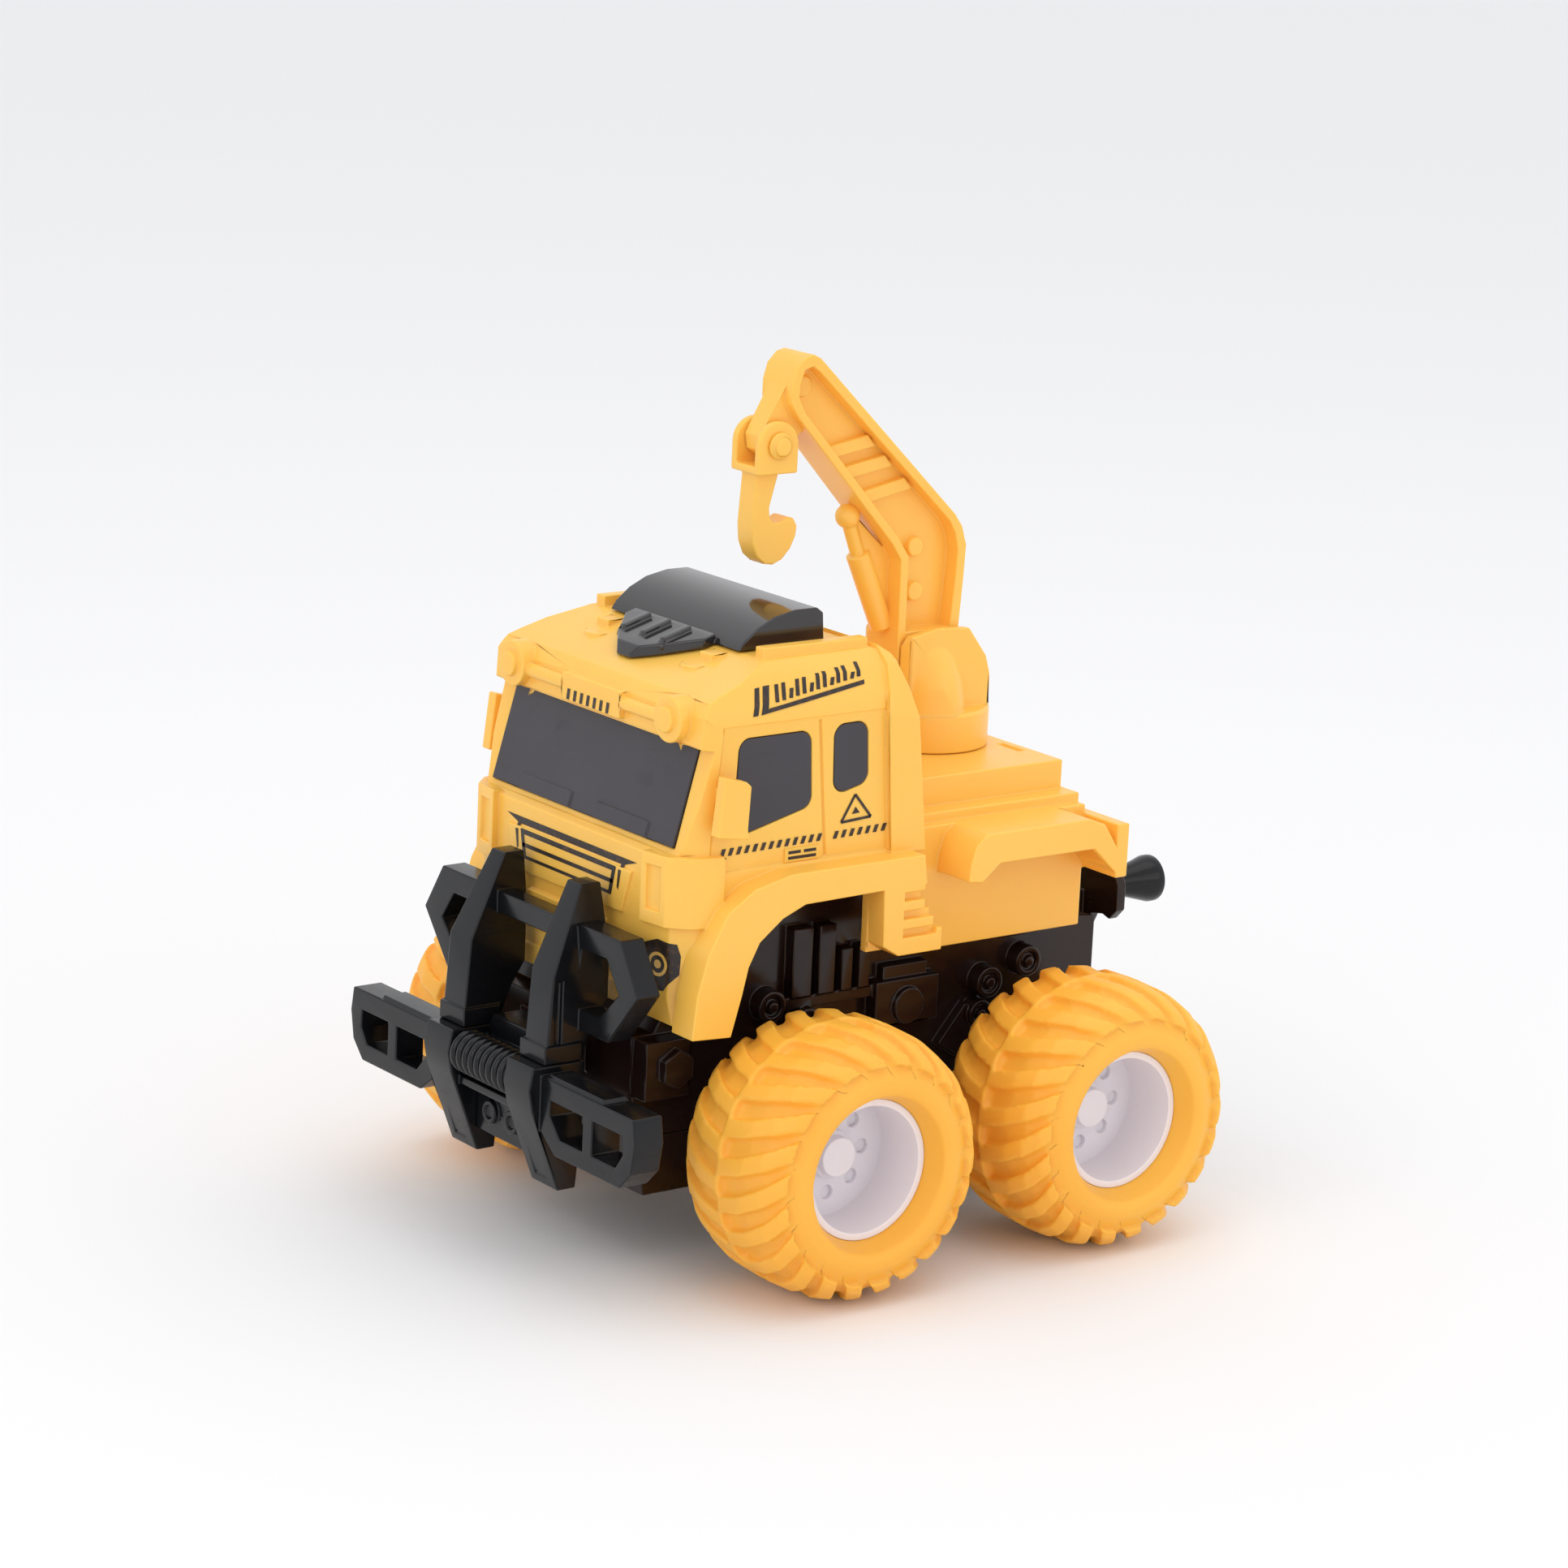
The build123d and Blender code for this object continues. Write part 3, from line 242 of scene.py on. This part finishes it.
slotMaterials = {
    "body_yellow": "bodyYellow", "dark_window": "darkWindow", "black_gloss": "blackGloss",
    "black_trim": "blackTrim", "chassis_brown": "chassisBrown", "tyre_orange": "tyreOrange",
    "rim_white": "rimWhite", "gear_white": "gearWhite", "steel": "steel"}
print("materials made:", len(materials))


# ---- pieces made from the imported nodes

slots = {row["node"]: row["material_slot"] for row in frame["record"]["subparts"]}
finished = {}


def addPiece(name, shape, body, material):
    mesh = bpy.data.meshes.new(name)
    shape.to_mesh(mesh)
    shape.free()
    piece = bpy.data.objects.new(name, mesh)
    bpy.context.scene.collection.objects.link(piece)
    piece.data.materials.append(materials[material])
    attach(piece, body)
    finished[name] = piece
    return piece


def mergedCopy(node):
    shape = bmesh.new()
    shape.from_mesh(frame["nodes"][node].data)
    bmesh.ops.remove_doubles(shape, verts=shape.verts, dist=0.002 * mm)
    bmesh.ops.dissolve_degenerate(shape, dist=0.002 * mm, edges=shape.edges)
    return shape


def markSharp(shape, angle):
    for face in shape.faces:
        face.smooth = True
    for edge in shape.edges:
        edge.smooth = not (edge.is_manifold and edge.calc_face_angle(0.0) > radians(angle))


def weightNormals(piece):
    modifier = piece.modifiers.new("weighted", "WEIGHTED_NORMAL")
    modifier.keep_sharp = True
    modifier.weight = 60


def roundedPiece(node, width, segments=2, angle=33.0):
    # the node's own shape with its moulded edges rounded
    shape = mergedCopy(node)
    crisp = BVHTree.FromBMesh(shape)
    edges = [e for e in shape.edges if e.is_manifold and e.calc_face_angle(0.0) > radians(angle)]
    made = bmesh.ops.bevel(shape, geom=edges, offset=width * mm, offset_type="OFFSET", segments=segments,
                           profile=0.5, affect="EDGES", clamp_overlap=False, material=-1, loop_slide=False)
    for vert in made["verts"]:  # a bevel that ran out of room comes back to the moulding's own face
        facePoint, normal, face, off = crisp.find_nearest(vert.co)
        if off > 0.5 * width * mm:
            vert.co = facePoint
    markSharp(shape, 50.0)
    piece = addPiece(node + "_moulding", shape, frame["nodes"][node]["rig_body"],
                     slotMaterials[slots[node]])
    weightNormals(piece)
    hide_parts(node)
    return piece


rounding = {  # width of each moulding's rounded edges, in millimetres
    "cab_shell": 0.28, "rear_body": 0.35, "roof_pod": 0.30, "chassis": 0.32, "chassis_cover": 0.30,
    "front_bumper": 0.32, "bull_bar": 0.32, "winch_drum": 0.15, "tow_hitch": 0.2, "turret": 0.35,
    "boom": 0.28, "hook": 0.40, "windscreen": 0.18, "side_glass_left": 0.15, "side_glass_right": 0.15,
    "turret_retainer": 0.2, "boom_pin": 0.4, "hook_pin": 0.4, "rim_front_left": 0.18,
    "rim_front_right": 0.18, "rim_rear_left": 0.18, "rim_rear_right": 0.18}
for node, width in rounding.items():
    roundedPiece(node, width)
print("rounded mouldings:", len(rounding))

tyreLook = {
    "voxel": 0.47, "smoothing": 1,
    "lugEnd": 19.8,  # nearer the axle than this the sidewall is smooth
    "sidewall": [(13.6, 14.1), (14.5, 14.45), (15.9, 14.9), (17.3, 14.68), (20.1, 13.1)]}


def sidewallAt(radius):
    # half the tyre's width at a distance from its axle, or nothing outside the sidewall's own stretch
    steps = tyreLook["sidewall"]
    for (r0, w0), (r1, w1) in zip(steps, steps[1:]):
        if r0 * mm <= radius <= r1 * mm:
            return (w0 + (w1 - w0) * (radius / mm - r0) / (r1 - r0)) * mm
    return None


def softTyre(node):
    # soft vinyl has no crisp edge anywhere, so the shape is rebuilt as small even cells and relaxed
    shape = mergedCopy(node)
    mesh = bpy.data.meshes.new("tyreDraft")
    shape.to_mesh(mesh)
    shape.free()
    draft = bpy.data.objects.new("tyreDraft", mesh)
    bpy.context.scene.collection.objects.link(draft)
    remesh = draft.modifiers.new("cells", "REMESH")
    remesh.mode = "VOXEL"
    remesh.voxel_size = tyreLook["voxel"] * mm
    ready = draft.evaluated_get(bpy.context.evaluated_depsgraph_get())
    soft = bmesh.new()
    soft.from_mesh(ready.to_mesh())
    bpy.data.objects.remove(draft)
    low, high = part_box(node)
    middle = (low + high) / 2
    for vert in soft.verts:
        arm = vert.co - middle
        radius = Vector((0, arm.y, arm.z)).length
        wide = sidewallAt(radius)
        if wide and radius < tyreLook["lugEnd"] * mm and abs(arm.x) > wide:
            vert.co.x = middle.x + (wide if arm.x > 0 else -wide)
    for turn in range(tyreLook["smoothing"]):
        bmesh.ops.smooth_vert(soft, verts=soft.verts, factor=0.5, use_axis_x=True, use_axis_y=True,
                              use_axis_z=True)
    for face in soft.faces:
        face.smooth = True
    piece = addPiece(node + "_vinyl", soft, frame["nodes"][node]["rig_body"], "tyreOrange")
    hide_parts(node)


tyres = [name for name in frame["nodes"] if name.startswith("tyre_")]
for node in tyres:
    softTyre(node)
print("tyres:", len(tyres))

rimLook = {"dish": 11.0, "holes": 8, "ring": 7.4, "radius": 1.34, "depth": 0.9, "plug": 0.7}


def rimFloors(node):
    # the wheel face's round holes are blind: each has a white floor a little way in
    low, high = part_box(node)
    side = 1 if high.x > 0 else -1
    inset = (rimLook["dish"] + rimLook["depth"] + rimLook["plug"] / 2) * mm
    floorX = side * (max(abs(low.x), abs(high.x)) - inset)
    ring = rimLook["ring"] * mm
    middle = (low + high) / 2
    shape = bmesh.new()
    for i in range(rimLook["holes"]):
        around = 2 * pi * i / rimLook["holes"]
        made = bmesh.ops.create_cone(shape, cap_ends=True, segments=24, radius1=rimLook["radius"] * mm,
                                     radius2=rimLook["radius"] * mm, depth=rimLook["plug"] * mm)
        bmesh.ops.rotate(shape, verts=made["verts"], matrix=Matrix.Rotation(pi / 2, 3, "Y"))
        place = Vector((floorX, middle.y + ring * cos(around), middle.z + ring * sin(around)))
        bmesh.ops.translate(shape, verts=made["verts"], vec=place)
    markSharp(shape, 40.0)
    addPiece(node + "_hole_floors", shape, frame["nodes"][node]["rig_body"], "rimWhite")


rims = [name for name in frame["nodes"] if name.startswith("rim_")]
for node in rims:
    rimFloors(node)
print("wheel faces:", len(rims))

for name, node in frame["nodes"].items():
    if not node.hide_render:
        node.data.materials.clear()
        node.data.materials.append(materials[slotMaterials[slots[name]]])


# ---- prints and small mouldings on the cab

cab = finished["cab_shell_moulding"]
cabLow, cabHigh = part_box("cab_shell")
cabFaces = BVHTree.FromPolygons([v.co for v in cab.data.vertices], [p.vertices for p in cab.data.polygons])


def sidePoint(u, v):
    # a place beside the cab: u back from its front end, v up from its lower edge, in millimetres
    return Vector((cabHigh.x + 5 * mm, cabLow.y + u * mm, cabLow.z + v * mm))


def frontPoint(u, v):
    # a place before the cab: u from the middle towards its left, v up from its lower edge
    return Vector((u * mm, cabLow.y - 5 * mm, cabLow.z + v * mm))


inward = {"side": Vector((-1, 0, 0)), "front": Vector((0, 1, 0))}


def layOnCab(name, outlines, face, thickness, lift, material, cuts=0, mirrored=True):
    # flat shapes pressed onto the cab's surface, and the same on the other side
    start = {"side": sidePoint, "front": frontPoint}[face]
    shape = bmesh.new()
    for outline in outlines:
        shape.faces.new([shape.verts.new(start(u, v)) for u, v in outline])
    if cuts:
        bmesh.ops.triangulate(shape, faces=shape.faces)
        bmesh.ops.subdivide_edges(shape, edges=shape.edges, cuts=cuts, use_grid_fill=True)
    for vert in shape.verts:
        hit = cabFaces.ray_cast(vert.co, inward[face])
        if hit[0] is not None:
            vert.co = hit[0]
        vert.co -= inward[face] * lift * mm
    bmesh.ops.recalc_face_normals(shape, faces=shape.faces)
    raised = bmesh.ops.extrude_face_region(shape, geom=list(shape.faces))
    moved = [g for g in raised["geom"] if isinstance(g, bmesh.types.BMVert)]
    bmesh.ops.translate(shape, verts=moved, vec=-inward[face] * thickness * mm)
    if mirrored:
        bmesh.ops.mirror(shape, geom=shape.verts[:] + shape.edges[:] + shape.faces[:], axis="X", merge_dist=0)
    bmesh.ops.recalc_face_normals(shape, faces=shape.faces)
    markSharp(shape, 40.0)
    return addPiece(name, shape, "base", material)


def slash(u, v, width, height, lean):
    return [(u, v), (u + width, v), (u + width + lean, v + height), (u + lean, v + height)]


def ring(u, v, outer, inner, parts=20):
    pieces = []
    for i in range(parts):
        a, b = 2 * pi * i / parts, 2 * pi * (i + 1) / parts
        pieces.append([(u + inner * cos(a), v + inner * sin(a)), (u + outer * cos(a), v + outer * sin(a)),
                       (u + outer * cos(b), v + outer * sin(b)), (u + inner * cos(b), v + inner * sin(b))])
    return pieces


def line(start, end, width):
    a, b = Vector(start), Vector(end)
    across = (b - a).orthogonal().normalized() * width / 2
    return [tuple(a - across), tuple(b - across), tuple(b + across), tuple(a + across)]


sidePrint = {
    "barOne": [(16.3, 55.9), (17.6, 60.5), (18.6, 60.6), (17.4, 56.0)],
    "barTwo": [(18.1, 56.0), (19.4, 60.7), (20.8, 60.8), (19.8, 57.3), (19.4, 56.2)],
    "under": [(19.4, 56.2), (19.8, 57.0), (41.4, 59.9), (41.3, 59.2)],
    "strokes": 13, "from": (21.4, 57.9, 60.8), "to": (40.0, 60.5, 62.7), "strokeWidth": 0.8, "lean": 0.55,
    "shorter": 1.2,
    "dashes": [(10.2, 31.2, 13, 31.5), (34.9, 45.6, 7, 31.9)], "dashWidth": 0.8, "dashHeight": 1.35,
    "triangle": [(39.5, 39.5), (36.6, 34.7), (43.2, 35.1)], "triangleLine": 0.5,
    "triangleDot": 0.26,
    "plate": [(24.3, 28.9), (31.9, 28.9), (31.9, 31.3), (24.3, 31.3)],
    "plateBars": [(25.0, 30.3, 2.7, 0.55), (28.4, 30.3, 2.7, 0.55), (25.0, 29.3, 6.1, 0.55)]}


def printSides(look):
    shapes = [look["barOne"], look["barTwo"], look["under"]]
    u0, low0, high0 = look["from"]
    u1, low1, high1 = look["to"]
    for i in range(look["strokes"]):
        share = i / (look["strokes"] - 1)
        u, low, high = u0 + (u1 - u0) * share, low0 + (low1 - low0) * share, high0 + (high1 - high0) * share
        if i % 3 == 2:  # every third stroke is short
            high -= look["shorter"]
        shapes.append(slash(u, low, look["strokeWidth"], high - low, look["lean"]))
    for start, end, count, v in look["dashes"]:
        for i in range(count):
            u = start + (end - start) * i / (count - 1)
            shapes.append(slash(u, v + (u - start) * 0.02, look["dashWidth"], look["dashHeight"], 0.5))
    corners = look["triangle"]
    for i in range(3):
        shapes.append(line(corners[i], corners[(i + 1) % 3], look["triangleLine"]))
    middle = sum((Vector(c) for c in corners), Vector((0, 0))) / 3
    shapes.append([tuple(middle.lerp(Vector(c), look["triangleDot"])) for c in corners])
    layOnCab("side_prints", shapes, "side", 0.03, 0.09, "printInk", 4)
    layOnCab("side_plates", [look["plate"]], "side", 0.35, -0.05, "bodyYellow")
    bars = [slash(u, v, w, h, 0.0) for u, v, w, h in look["plateBars"]]
    layOnCab("side_plate_prints", bars, "side", 0.03, 0.33, "printInk")


printSides(sidePrint)

frontPrint = {
    "visor": {"count": 7, "from": -7.4, "step": 2.05, "low": 52.0, "width": 0.85, "height": 2.0,
              "lean": 0.35},
    "wedge": [(-20.6, 28.6), (20.6, 28.6), (16.6, 27.3), (-16.6, 27.3)],
    "leg": [(16.0, 27.4), (17.0, 27.4), (16.1, 22.8), (15.7, 23.2)],
    "slats": [(26.3, 14.9, 0.95), (23.9, 14.4, 0.75), (21.7, 13.2, 0.6)],
    "post": [(14.2, 26.7), (15.2, 26.7), (14.0, 21.4), (13.0, 21.4)],
    "lampPatch": [(22.6, 14.7), (27.0, 16.4), (30.6, 16.0), (31.1, 13.9), (31.0, 10.5), (28.8, 7.3),
                  (23.4, 6.7)],
    "lampRing": (27.3, 11.9, 2.2, 1.6), "lampDot": (27.3, 11.9, 0.8, 0.05)}


def printFront(look):
    visor = look["visor"]
    shapes = []
    for i in range(visor["count"]):
        u = visor["from"] + i * visor["step"]
        shapes.append(slash(u, visor["low"], visor["width"], visor["height"], visor["lean"]))
    shapes.append(look["wedge"])
    for name in ("post", "leg"):
        shapes.append(look[name])
        shapes.append([(-u, v) for u, v in reversed(look[name])])
    for v, half, width in look["slats"]:
        shapes.append(line((-half, v), (half, v), width))
    layOnCab("front_prints", shapes, "front", 0.03, 0.04, "printInk", 3, False)
    layOnCab("headlamp_prints", [look["lampPatch"]], "front", 0.03, 0.04, "printInk", 6)
    rings = ring(*look["lampRing"]) + ring(*look["lampDot"], 12)
    layOnCab("headlamp_rings", rings, "front", 0.03, 0.08, "bodyYellow")


printFront(frontPrint)
print("prints laid")


# ---- camera, light and floor

view = {
    "azimuth": 52.78, "elevation": 13.82, "roll": 2.65,  # degrees
    "place": (663.37, -516.51, 284.45), "lens": 106.95}
turnA = radians(view["azimuth"])
turnE = radians(view["elevation"])
back = Vector((sin(turnA) * cos(turnE), -cos(turnA) * cos(turnE), sin(turnE)))
level = Vector((cos(turnA), sin(turnA), 0))
upright = back.cross(level)
right = level * cos(radians(view["roll"])) + upright * sin(radians(view["roll"]))
up = back.cross(right)
cameraData = bpy.data.cameras.new("camera")
cameraData.lens = view["lens"]
cameraData.sensor_width = 36.0
cameraData.clip_start = 0.01
camera = bpy.data.objects.new("camera", cameraData)
bpy.context.scene.collection.objects.link(camera)
turn = Matrix((right, up, back)).transposed().to_4x4()
camera.matrix_world = Matrix.Translation(Vector(view["place"]) * mm) @ turn
bpy.context.scene.camera = camera

studio = {
    "world": 0.95, "floor": rgb(0.90, 0.90, 0.905), "floorFibre": rgb(0.87, 0.87, 0.88),
    "lamps": [
        {"name": "overhead", "from": (0.10, 0.05, 1.1), "to": (0, 0, 0.05), "size": 0.9, "power": 2.0},
        {"name": "front", "from": (0.35, -0.95, 0.55), "to": (0, 0, 0.07), "size": 0.6, "power": 1.3},
        {"name": "side", "from": (1.0, 0.35, 0.45), "to": (0, 0, 0.07), "size": 0.5, "power": 0.6}]}


def addLamp(lamp):
    data = bpy.data.lights.new(lamp["name"], "AREA")
    data.size = lamp["size"]
    data.energy = lamp["power"]
    data.color = (1.0, 0.985, 0.965)
    thing = bpy.data.objects.new(lamp["name"], data)
    bpy.context.scene.collection.objects.link(thing)
    thing.location = lamp["from"]
    thing.rotation_mode = "QUATERNION"
    thing.rotation_quaternion = (Vector(lamp["to"]) - Vector(lamp["from"])).to_track_quat("-Z", "Y")


for lamp in studio["lamps"]:
    addLamp(lamp)
world = bpy.data.worlds.new("studio")
world.use_nodes = True
world.node_tree.nodes["Background"].inputs["Color"].default_value = rgb(0.98, 0.985, 1.0)
world.node_tree.nodes["Background"].inputs["Strength"].default_value = studio["world"]
bpy.context.scene.world = world
bpy.context.scene.view_settings.view_transform = "Standard"

floorShape = bmesh.new()
bmesh.ops.create_grid(floorShape, x_segments=2, y_segments=2, size=6.0)
floorMesh = bpy.data.meshes.new("floor")
floorShape.to_mesh(floorMesh)
floorShape.free()
floor = bpy.data.objects.new("floor", floorMesh)
bpy.context.scene.collection.objects.link(floor)
floorGraph = Graph("paper")
fibre = floorGraph.noise(700.0, 3.0)
floorGraph.set(Base_Color=floorGraph.blend(fibre * 0.25, studio["floor"], studio["floorFibre"]))
floorGraph.set(Roughness=0.85, Specular_IOR_Level=0.1)
floorMesh.materials.append(floorGraph.material)
